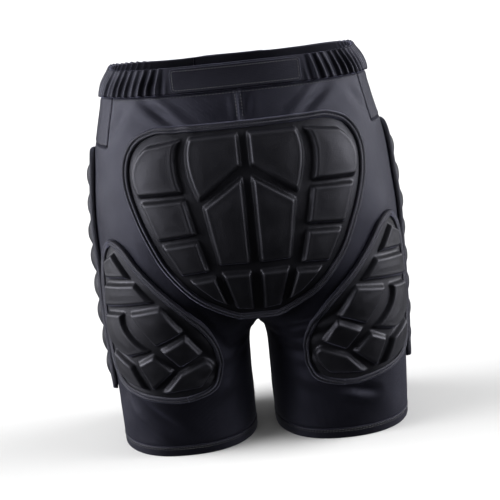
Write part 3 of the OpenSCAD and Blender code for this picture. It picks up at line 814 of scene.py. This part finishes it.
def round_corners(u, v, half_w, half_h, r, ends=(True, True)):
    """Moves points of the square -1..1 so that its corners are arcs of radius r, in mm."""
    d, e = np.abs(u) * half_w - (half_w - r), np.abs(v) * half_h - (half_h - r)
    both = (d > 0) & (e > 0) & np.where(u < 0, ends[0], ends[1])
    long = np.where(both, np.hypot(d, e), 1)
    big = np.maximum(d, e)
    x = np.where(both, half_w - r + d * big / long, np.abs(u) * half_w)
    z = np.where(both, half_h - r + e * big / long, np.abs(v) * half_h)
    return np.sign(u) * x, np.sign(v) * z


def tab_place(x0, x1, z0, z1, r, back=False, ends=(True, True)):
    """Rounded rectangle on the form, given by its sides in mm."""
    def place(u, v):
        x, z = round_corners(2 * u - 1, 2 * v - 1, abs(x1 - x0) / 2, (z1 - z0) / 2, r, ends)
        return signed_x((x0 + x1) / 2 + x * np.sign(x1 - x0), (z0 + z1) / 2 + z, back)
    return place


def flap_off(x):
    return FOLD_T + SEAM + 2.2 * smooth((FLAP_ROOT - x) / 20)


TAB_STEPS = spread(86, 1.8, 0.9), spread(34, 1.8, 0.9)
STRIP_STEPS = spread(30, 1.6, 0.4), spread(27, 1.6, 0.4)
# Corners and sides of the tabs: x from, x to, z from, z to, radius
REAR_TAB = -PATCH_HALF, PATCH_HALF, BAND_BACK_Z + 0.4, HEIGHT - 2, 5
FLAP_TAB = FLAP_ROOT, FLAP_END, BAND_FRONT_Z + 1, HEIGHT - 1, 6
STRIP = tab_place(FLAP_END + 3, -12, BAND_FRONT_Z + 5, HEIGHT - 5, 3)
cloth("rear_waist_patch", tab_place(*REAR_TAB, True), spread(134, 1.8, 0.9), spread(25, 1.6, 0.9),
      BAND, "waistband_fabric", low=FOLD_T + 0.2, high=FOLD_T + 1.7, round_edge=0.8, held="laid",
      rests_on=["waistband_back_cloth"])
FLAP = cloth("closure_flap", tab_place(*FLAP_TAB, False, (False, True)), *TAB_STEPS, BAND,
             "waistband_fabric", low=0, high=1.5, round_edge=0.75, body=None,
             lift=lambda u, v: flap_off(mix(FLAP_ROOT, FLAP_END, u)), held="laid",
             rests_on=["waistband_front_right_cloth"])
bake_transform(FLAP)
cloth("hook_patch", STRIP, *STRIP_STEPS, HOOKS, "hook_and_loop", low=2.75, high=3.5, round_edge=0.4,
      body="flap", held="laid", rests_on=["closure_flap_cloth"])
cloth("loop_patch", STRIP, *STRIP_STEPS, LOOPS, "hook_and_loop", low=FOLD_T, high=2.5, round_edge=0.5,
      held="laid", rests_on=["waistband_front_right_cloth"])
cloth("care_label", lambda u, z: signed_x(u, z, True), np.linspace(-14, 14, 15),
      np.linspace(362, 394, 17), LABEL, "label_tape", low=-2.4, high=-1.9, round_edge=0.25,
      lift=lambda u, z: -(0.9 + 0.4 * np.cos(u / 5)) * smooth((388 - z) / 26), held="hung",
      rests_on=["waistband_back_cloth"])


# -------- moulded foam pads
def smooth_edge(points):
    """A block's edge line through two or three points, as seven."""
    p = np.array(points, float)
    v = np.linspace(0, 1, 7)[:, None]
    if len(p) == 2:
        return mix(p[0], p[1], v)
    return p[0] * (2 * v - 1) * (v - 1) + p[1] * 4 * v * (1 - v) + p[2] * v * (2 * v - 1)


def inside_distance(q, left, right):
    """Distance inside a block's outline, negative outside it."""
    poly = np.concatenate([smooth_edge(left), smooth_edge(right)[::-1]])
    near, inside = np.full(q.shape[:-1], 1e9), np.zeros(q.shape[:-1], bool)
    for a, b in zip(poly, np.roll(poly, -1, 0)):
        e = b - a
        w = q - a
        s = np.clip(w @ e / (e @ e), 0, 1)
        near = np.minimum(near, np.linalg.norm(w - s[..., None] * e, axis=-1))
        crosses = (a[1] <= q[..., 1]) != (b[1] <= q[..., 1])
        if a[1] != b[1]:
            inside ^= crosses & (q[..., 0] < a[0] + (q[..., 1] - a[1]) / (b[1] - a[1]) * (b[0] - a[0]))
    return np.where(inside, near, -near)


# Left and right edge lines of the blocks: distance from the middle or the outer side, and height
TAIL_BLOCKS = [
    [[[5, 324], [5, 356]], [[50, 293], [59, 328], [54, 355]]],
    [[[5, 226], [5, 314]], [[37, 226], [47, 287]]],
    [[[5, 172], [5, 217]], [[24, 175], [35, 217]]],
    [[[66, 302], [70, 333], [62, 354]], [[111, 299], [114, 326], [98, 348]]],
    [[[57, 260], [65, 297]], [[95, 255], [109, 294]]],
    [[[48, 220], [56, 254]], [[76, 217], [92, 250]]],
    [[[31, 179], [42, 214]], [[47, 189], [69, 211]]],
]
THIGH_BLOCKS = [
    [[[61, 208], [59, 228]], [[98, 213], [76, 238]]],
    [[[54, 175], [58, 202]], [[123, 188], [104, 208]]],
    [[[82, 122], [54, 139], [55, 169]], [[108, 131], [86, 153], [83, 173]]],
    [[[116, 137], [92, 174]], [[148, 153], [130, 183]]],
    [[[101, 84], [91, 116]], [[128, 107], [111, 127]]],
    [[[135, 110], [119, 132]], [[161, 123], [148, 148]]],
    [[[74, 90], [58, 106], [58, 128]], [[96, 84], [88, 101], [84, 113]]],
    [[[110, 80], [133, 104]], [[151, 84], [168, 104], [162, 117]]],
]
WEB_TOP, BLOCK_TOP, BEVEL, LIP, CROWN = 2.6, 8.3, 3.0, 0.4, 1.0
PAD_FOOT, PAD_INSET = 0.95, 1.5         # underside over the cloth, and border inside the outline


def soften(h, times=2):
    """Blurs heights on a grid."""
    for _ in range(times):
        p = np.pad(h, 1, mode="edge")
        h = 0.5 * h + 0.125 * (p[:-2, 1:-1] + p[2:, 1:-1] + p[1:-1, :-2] + p[1:-1, 2:])
    return h


def block_heights(q, blocks):
    """Height of moulded blocks over the web: a rounded shoulder, a slight lip and a low crown."""
    h = np.full(q.shape[:-1], WEB_TOP)
    for left, right in blocks:
        d = inside_distance(q, left, right)
        rise_up = (BLOCK_TOP - WEB_TOP) * (1 - (1 - np.clip(d / BEVEL, 0, 1)) ** 2.3)
        lip = LIP * np.exp(-((d - 3.6) / 1.2) ** 2)
        crown = CROWN * smooth(d / 17)
        h = np.where(d > 0, WEB_TOP + rise_up + lip + crown - 0.3 * smooth((d - 4) / 8), h)
    return h


def pad(name, nodes, to_plane, place, us, zs, heights, bridge=False):
    """A moulded pad as one closed body, from heights over the cloth."""
    q = to_plane(*np.meshgrid(us, zs))
    t, z, side = place(q[..., 0], q[..., 1])
    base, n = placed(t, z, side, bridge)
    mask = every_cell(us, zs)
    high = mix(PAD_FOOT + 0.3, heights(q), smooth(border_distance(base, mask) / 2.0))
    off = folds(base)
    top, under = base + (off + high)[..., None] * n, base + (off + PAD_FOOT)[..., None] * n
    top, under, uv = facing(base, n, top, under, np.stack(lengths(base), -1))
    points, faces, uvs = shell(top, under, mask, uv)
    obj = build(name, points, faces, uvs, SKIN, "pad_foam")
    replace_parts(obj, *nodes)


def between_edges(right, left):
    """Points of a pad's plane between its two edges, a little inside them."""
    return lambda u, z: np.stack([mix(curve(right, z) + PAD_INSET, curve(left, z) - PAD_INSET, u), z], -1)


def hip_place(side):
    """Places points given by arc length behind the outer side and height."""
    return lambda s, z: (on_side(s, z), z, side + 0 * s)


def tail_place(x, z):
    return signed_x(x, z, True)


def tail_heights(q):
    mirrored = np.stack([np.abs(q[..., 0]), q[..., 1]], -1)
    return soften(block_heights(mirrored, TAIL_BLOCKS))


pad("tail_pad_moulding", ["tail_pad_web", "tail_pad_foam"],
    lambda u, z: np.stack([u * (curve(TAIL_EDGE, z) - PAD_INSET), z], -1), tail_place,
    np.linspace(-1, 1, 2 * cells(125, 1.15) + 1), steps(204, 1.15, 161.5, 365.5), tail_heights, bridge=True)
for side, word in SIDES:
    pad("thigh_pad_moulding_" + word, ["thigh_pad_web_" + word, "thigh_pad_foam_" + word],
        between_edges(THIGH_OUTER, THIGH_INNER), hip_place(side), steps(120, 1.1),
        steps(182, 1.1, 68.5, 250.5), lambda q: soften(block_heights(q, THIGH_BLOCKS)))


# -------- puffy side pads, by cloth simulation
SIDE_LOW, SIDE_TOP, SIDE_MARGIN, LUMP_START, LUMP_TOP = 76.0, 325.0, 8.5, 5.5, 12.6
SIM_SCALE = 0.01        # the pad is simulated ten times its size, where Blender's cloth is steady
SIM_FRAMES = 22
SIM_SETTINGS = {"vertex_group_mass": "held", "quality": 6, "mass": 0.15, "air_damping": 6,
                "tension_stiffness": 12, "compression_stiffness": 12, "shear_stiffness": 8,
                "bending_stiffness": 2.5, "shrink_min": -0.02, "use_pressure": True,
                "uniform_pressure_force": 3.2}


def lump_heights(q):
    """A shallow start for the lumps: how far each point is inside its lump, and a low pillow."""
    lo, hi = curve(SIDE_FRONT, q[..., 1]) + SIDE_MARGIN, curve(SIDE_BACK, q[..., 1]) - SIDE_MARGIN
    a = (2 * q[..., 0] - lo - hi) / (hi - lo)
    tilt = q[..., 1] - 2.2 * a + 1.6 * a * a        # the channels bow and slant a little
    pitch = (SIDE_TOP - SIDE_LOW) / LUMPS
    number = np.floor((tilt - SIDE_LOW) / pitch)
    b = 2 * ((tilt - SIDE_LOW) / pitch - number) - 1
    inside = (np.abs(a) < 1) & (number >= 0) & (number < LUMPS)
    pillow = np.maximum(0, 1 - np.abs(a) ** 4) ** 0.6 * np.maximum(0, 1 - b ** 2) ** 0.6
    free = inside & (np.abs(b) < 0.93)
    return np.where(inside, pillow, 0), free


def swell(q, h, free):
    """Blows the pad's cover up with Blender's cloth, held along its channels and border."""
    m, n = h.shape
    flat = np.stack([q[..., 0], q[..., 1], h], -1).reshape(-1, 3) * SIM_SCALE
    ids = np.arange(m * n).reshape(m, n)
    quads = np.stack([ids[:-1, :-1], ids[:-1, 1:], ids[1:, 1:], ids[1:, :-1]], -1).reshape(-1, 4)
    mesh = bpy.data.meshes.new("swelling")
    mesh.from_pydata(flat.tolist(), [], quads.tolist())
    obj = bpy.data.objects.new("swelling", mesh)
    bpy.context.scene.collection.objects.link(obj)
    held = obj.vertex_groups.new(name="held")
    held.add(np.flatnonzero(~free.ravel()).tolist(), 1.0, "REPLACE")
    swelling = obj.modifiers.new("swelling", "CLOTH")
    for key, value in SIM_SETTINGS.items():
        setattr(swelling.settings, key, value)
    swelling.settings.effector_weights.gravity = 0
    swelling.point_cache.frame_start, swelling.point_cache.frame_end = 1, SIM_FRAMES
    for frame_number in range(1, SIM_FRAMES + 1):
        bpy.context.scene.frame_set(frame_number)
    done = obj.evaluated_get(bpy.context.evaluated_depsgraph_get()).data
    out = np.zeros(m * n * 3, np.float32)
    done.vertices.foreach_get("co", out)
    bpy.data.objects.remove(obj)
    bpy.context.scene.frame_set(1)
    return out.reshape(m, n, 3) / SIM_SCALE


side_us, side_zs = steps(82, 1.6), steps(271, 1.6, 65.5, 336.5)
plane = between_edges(SIDE_FRONT, SIDE_BACK)(*np.meshgrid(side_us, side_zs))
pillow, free = lump_heights(plane)
covers = swell(plane, WEB_TOP + LUMP_START * pillow, free)
covers[..., 2] = np.minimum(covers[..., 2], LUMP_TOP + 0.2 * (covers[..., 2] - LUMP_TOP))
for side, word in SIDES:
    pad("side_pad_moulding_" + word, ["side_pad_web_" + word, "side_pad_foam_" + word],
        lambda u, z: covers[..., :2], hip_place(side), side_us, side_zs, lambda q: covers[..., 2])


# -------- bindings round the pads
def closed_line(points, pitch=2.2, soft=3.0):
    """Evenly spaced points along a closed line, with softened corners."""
    p = np.concatenate([points, points[:1]])
    s = travelled(p)
    count = int(s[-1] / (pitch * DENSE))
    at = np.linspace(0, s[-1], count, endpoint=False)
    line = np.stack([np.interp(at, s, p[:, 0]), np.interp(at, s, p[:, 1])], -1)
    reach = np.arange(-12, 13) * s[-1] / count
    kernel = np.exp(-(reach / soft) ** 2 / 2)
    kernel /= kernel.sum()
    return sum(k * np.roll(line, i, 0) for k, i in zip(kernel, range(-12, 13)))


def pad_outline(right, left):
    """Closed outline up one edge and down the other."""
    z = np.linspace(right[0, 0], right[-1, 0], 240)
    a = np.stack([curve(right, z), z], -1)
    b = np.stack([curve(left, z), z], -1)[::-1]
    ends = np.linspace(0, 1, 30)[1:-1, None]
    return np.concatenate([a, mix(a[-1], b[0], ends), b, mix(b[-1], a[0], ends)])


def inset_line(line, d):
    """The line moved inwards by d, softened as much as its corners need."""
    along = unit(np.roll(line, -1, 0) - np.roll(line, 1, 0))
    return closed_keep(line + d * np.stack([-along[:, 1], along[:, 0]], -1), int(abs(d)))


def closed_keep(line, times):
    """A closed line softened that many times."""
    for _ in range(times):
        line = 0.5 * line + 0.25 * (np.roll(line, 1, 0) + np.roll(line, -1, 0))
    return line


# Cross-section of a binding: distance inwards from its edge and height over the cloth
TAPE_SECTION = [(0.5, 0.75), (-0.3, 0.8), (-0.35, 2.2), (-0.05, 3.7), (0.6, 4.9), (1.5, 5.5), (2.4, 5.25),
                (3.05, 4.6), (3.4, 4.3), (3.8, 4.6), (4.5, 5.2), (5.4, 5.35), (6.2, 4.7), (6.8, 3.7),
                (7.0, 3.2), (6.4, 2.8), (3.5, 2.6), (1.4, 1.5)]


def binding(name, node, line, place, taller=0.0, bridge=False):
    """A tape of that cross-section round a pad's outline, as one closed tube."""
    rings = []
    for d, h in TAPE_SECTION:
        t, z, side = place(*inset_line(line, d).T)
        p, n = placed(t, z, side, bridge)
        rings.append(p + (folds(p) + h + taller * smooth((h - 2.5) / 2.5))[:, None] * n)
    rings = np.array(rings)                 # [section, along, xyz]
    k, count = rings.shape[:2]
    i, j = np.meshgrid(np.arange(k), np.arange(count), indexing="ij")

    def ids(a, b):
        return (a % k) * count + b % count

    faces = np.stack([ids(i, j), ids(i + 1, j), ids(i + 1, j + 1), ids(i, j + 1)], -1).reshape(-1, 4)
    probe = len(faces) // 3
    a, b, c, _ = (rings.reshape(-1, 3)[corner] for corner in faces[probe])
    middle = rings[:, probe % count].mean(0)
    if np.cross(b - a, c - a) @ ((a + b + c) / 3 - middle) < 0:
        faces = faces[:, ::-1]
    round_it = travelled(rings.swapaxes(0, 1)).mean(0)
    run = travelled(rings[5])
    uv = np.stack(np.broadcast_arrays(run[None, :], round_it[:, None]), -1).reshape(-1, 2)
    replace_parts(build(name, rings.reshape(-1, 3), faces, uv, TAPE, "binding_tape"), node)


LINES = {"tail": closed_line(pad_outline(TAIL_EDGE, TAIL_EDGE * np.array([1, -1]))),
         "thigh": closed_line(pad_outline(THIGH_INNER, THIGH_OUTER)),
         "side": closed_line(pad_outline(SIDE_BACK, SIDE_FRONT))}
binding("tail_pad_binding_tape", "tail_pad_binding", LINES["tail"], tail_place, bridge=True)
for side, word in SIDES:
    for stem, taller in (("thigh", 0.0), ("side", 0.8)):
        binding(f"{stem}_pad_binding_tape_{word}", f"{stem}_pad_binding_{word}", LINES[stem],
                hip_place(side), taller)


# -------- stitching
STITCH_INSET, TAPE_TOP, SIDE_TAPE_TOP = 3.45, 4.35, 5.0
SEAM_STITCH = 3.2                       # from a seam to the stitches beside it
ON_KNIT, ON_HIP, ON_HEM, ON_TAB = 0.12, 0.3, 0.45, 1.52     # height of the thread over the form


def seam_line(t, z, side, off, bridge=False):
    """A line on the cloth, raised by off, and the outward directions along it."""
    t, z, side = np.broadcast_arrays(*(np.asarray(v, float) for v in (t, z, side)))
    p, n = placed(t, z, side, bridge)
    return p + (folds(p) + off)[:, None] * n, n


def along_line(at, s, p):
    return np.stack([np.interp(at, s, column) for column in p.T], -1)


def sew(name, lines, slot="binding_tape", body="root", pitch=3.4, long=2.3, wide=0.62, high=0.42):
    """One mesh of separate stitches: a small lens of thread at every pitch along the lines."""
    a = np.array([-1, -0.62, 0, 0.62, 1])
    r = np.array([0.18, 0.8, 1, 0.8, 0.18])
    turn = np.arange(6) * math.pi / 3
    shape = np.stack([np.repeat(a, 6) * long / 2, (r[:, None] * np.cos(turn)).ravel() * wide / 2,
                      (r[:, None] * np.sin(turn)).ravel() * high / 2], -1)
    quads = [[i * 6 + k, i * 6 + (k + 1) % 6, (i + 1) * 6 + (k + 1) % 6, (i + 1) * 6 + k]
             for i in range(4) for k in range(6)]
    quads += [[5, 4, 3, 2], [5, 2, 1, 0], [24, 25, 26, 27], [24, 27, 28, 29]]
    points, faces, uvs = [], [], []
    for p, n in lines:
        s = travelled(p)
        at = np.arange(pitch / 2, s[-1], pitch)
        mid = along_line(at, s, p)
        up = unit(along_line(at, s, n))
        ahead = along_line(at + 0.5, s, p) - along_line(at - 0.5, s, p)
        ahead = unit(ahead - np.sum(ahead * up, -1, keepdims=True) * up)
        over = np.cross(up, ahead)
        axes = np.stack([ahead, over, up], 1)               # [stitch, axis, xyz]
        spots = mid[:, None] + shape @ axes
        for k in range(len(at)):
            faces.append(np.array(quads) + sum(map(len, points)) + k * 30)
        points.append(spots.reshape(-1, 3))
        uvs.append(np.tile(shape[:, :2], (len(at), 1)))
    joined = [np.concatenate(part) for part in (points, faces, uvs)]
    return build(name, *joined, THREAD, slot, body)


def tape_line(stem):
    """Closed line in the middle of a pad's binding."""
    moved = inset_line(LINES[stem], STITCH_INSET)
    return np.concatenate([moved, moved[:1]]).T


vent_z = np.linspace(GUSSET_TOP + 2, BAND_FRONT_Z - 1, 120)
hip_t = np.linspace(float(at_x(VENT_EDGE[-1, 1], HIP_BAND_Z, False)) + 1.5, HIP_BACK - 1.5, 120)
hip_z = np.linspace(HIP_BAND_Z + 4, BAND_BACK_Z - 3, 30)
hem_t = np.linspace(0.5, 359.5, 260)
for side, word in SIDES:
    vent = [seam_line(at_x(curve(edge, vent_z) + shift, vent_z, False), vent_z, side, ON_KNIT)
            for edge, shift in ((FLY_EDGE, -SEAM_STITCH), (VENT_EDGE, SEAM_STITCH))]
    sew("vent_stitching_" + word, vent, "stretch_fabric")
    hip = [seam_line(hip_t, HIP_BAND_Z + 3.4, side, ON_HIP), seam_line(HIP_BACK - 1.6, hip_z, side, ON_HIP)]
    sew("hip_band_stitching_" + word, hip, "stretch_fabric")
    sew("hem_stitching_" + word, [seam_line(hem_t, h, side, ON_HEM) for h in (8.6, 10.6)], "stretch_fabric")
    for stem, h in (("thigh", TAPE_TOP), ("side", SIDE_TAPE_TOP)):
        s, z = tape_line(stem)
        sew(f"{stem}_pad_stitching_{word}", [seam_line(on_side(s, z), z, side, h)])
sew("tail_pad_stitching", [seam_line(*tail_place(*tape_line("tail")), TAPE_TOP, True)])
t, side = ring_turn(np.linspace(-88, 268, 500))
sew("waist_seam_stitching", [seam_line(t, band_foot(t) - SEAM_STITCH, side, ON_KNIT)], "stretch_fabric")
z = np.linspace(371, 394, 20)
sew("centre_back_stitching", [seam_line(*signed_x(x + 0 * z, z, True), ON_KNIT) for x in (-3, 3)],
    "stretch_fabric")


def tab_outline(x0, x1, z0, z1, r, inset):
    """A rounded rectangle's border, set in, as distances and heights."""
    w, h = abs(x1 - x0) / 2 - inset, (z1 - z0) / 2 - inset
    a = np.linspace(-1, 1, 60)
    square = np.concatenate([np.stack([a, -1 + 0 * a], -1), np.stack([1 + 0 * a, a], -1),
                             np.stack([-a, 1 + 0 * a], -1), np.stack([-1 + 0 * a, -a], -1)])
    x, z = round_corners(square[:, 0], square[:, 1], w, h, max(r - inset, 0.5))
    return (x0 + x1) / 2 + x * np.sign(x1 - x0), (z0 + z1) / 2 + z


x, z = tab_outline(*REAR_TAB, 2.6)
sew("rear_patch_stitching", [seam_line(*signed_x(x, z, True), FOLD_T + 1.72)], "waistband_fabric", pitch=3)
x, z = tab_outline(*FLAP_TAB, 2.8)
line = seam_line(*signed_x(x, z, False), flap_off(x) + ON_TAB)
FLAP_THREAD = sew("closure_flap_stitching", [line], "waistband_fabric", None, pitch=3)
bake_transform(FLAP_THREAD)


# -------- stage, lights and camera
FLOOR_RINGS = (0.5, 1.5, 6.0, 60.0)
LEFT_LIGHT, RIGHT_LIGHT, TOP_LIGHT, BASE_LIGHT, BACKGROUND = 36.0, 28.0, 0.7, 0.08, 1.2
EYE, AIM, LENS, ROLL = (0.050, 1.397, 0.590), (0.0, 0.0, 0.207), 93, -5.7


def backdrop():
    """A plain pale floor, a wide disc."""
    mesh = bpy.data.meshes.new("floor")
    ring, verts, faces = 64, [(0.0, 0.0, 0.0)], []
    for radius in FLOOR_RINGS:
        for k in range(ring):
            a = 2 * math.pi * k / ring
            verts.append((radius * math.cos(a), radius * math.sin(a), 0.0))
    for k in range(ring):
        n = (k + 1) % ring
        faces.append((0, 1 + k, 1 + n))
        for i in range(len(FLOOR_RINGS) - 1):
            low, high = 1 + i * ring, 1 + (i + 1) * ring
            faces.append((low + k, high + k, high + n, low + n))
    mesh.from_pydata(verts, [], faces)
    p = Paint("pale_floor")
    mesh.materials.append(p.finish(p.colours(p.noise(2.0), (0.62, 0.62, 0.62), (0.64, 0.64, 0.64)), 0.9))
    obj = bpy.data.objects.new("floor", mesh)
    obj.visible_glossy = obj.visible_diffuse = False
    bpy.context.scene.collection.objects.link(obj)


def studio():
    """Soft light from both sides and a little from above, in front of a plain pale background."""
    world = bpy.data.worlds.new("studio")
    world.use_nodes = True
    bpy.context.scene.world = world
    g = Graph(world.node_tree)
    way = g.node("SeparateXYZ", g.node("TexCoord").outputs["Generated"])
    sides = g.add(g.between(way.outputs[0], 0.78, 0.99, 0, LEFT_LIGHT),
                   g.between(way.outputs[0], -0.78, -0.99, 0, RIGHT_LIGHT))
    level = g.between(way.outputs[2], -0.15, 0.2, 0, 1)
    above = g.between(way.outputs[2], 0.35, 0.95, 0, TOP_LIGHT)
    light = g.add(g.times(sides, level), g.add(above, BASE_LIGHT))
    seen = g.node("LightPath").outputs["Is Camera Ray"]
    strength = g.add(g.times(light, g.math("SUBTRACT", 1.0, seen)),
                      g.times(seen, BACKGROUND))
    background = g.tree.nodes["Background"]
    background.inputs[0].default_value = (1, 1, 1, 1)
    g.plug(background.inputs[1], strength)


backdrop()
studio()
bpy.context.scene.view_settings.view_transform = "Standard"

camera = bpy.data.objects.new("camera", bpy.data.cameras.new("camera"))
camera.data.lens = LENS
bpy.context.scene.collection.objects.link(camera)
eye = mathutils.Vector(EYE)
turn = (mathutils.Vector(AIM) - eye).to_track_quat("-Z", "Y")
camera.location = eye
camera.rotation_mode = "QUATERNION"
camera.rotation_quaternion = turn @ mathutils.Quaternion((0, 0, 1), math.radians(ROLL))
bpy.context.scene.camera = camera
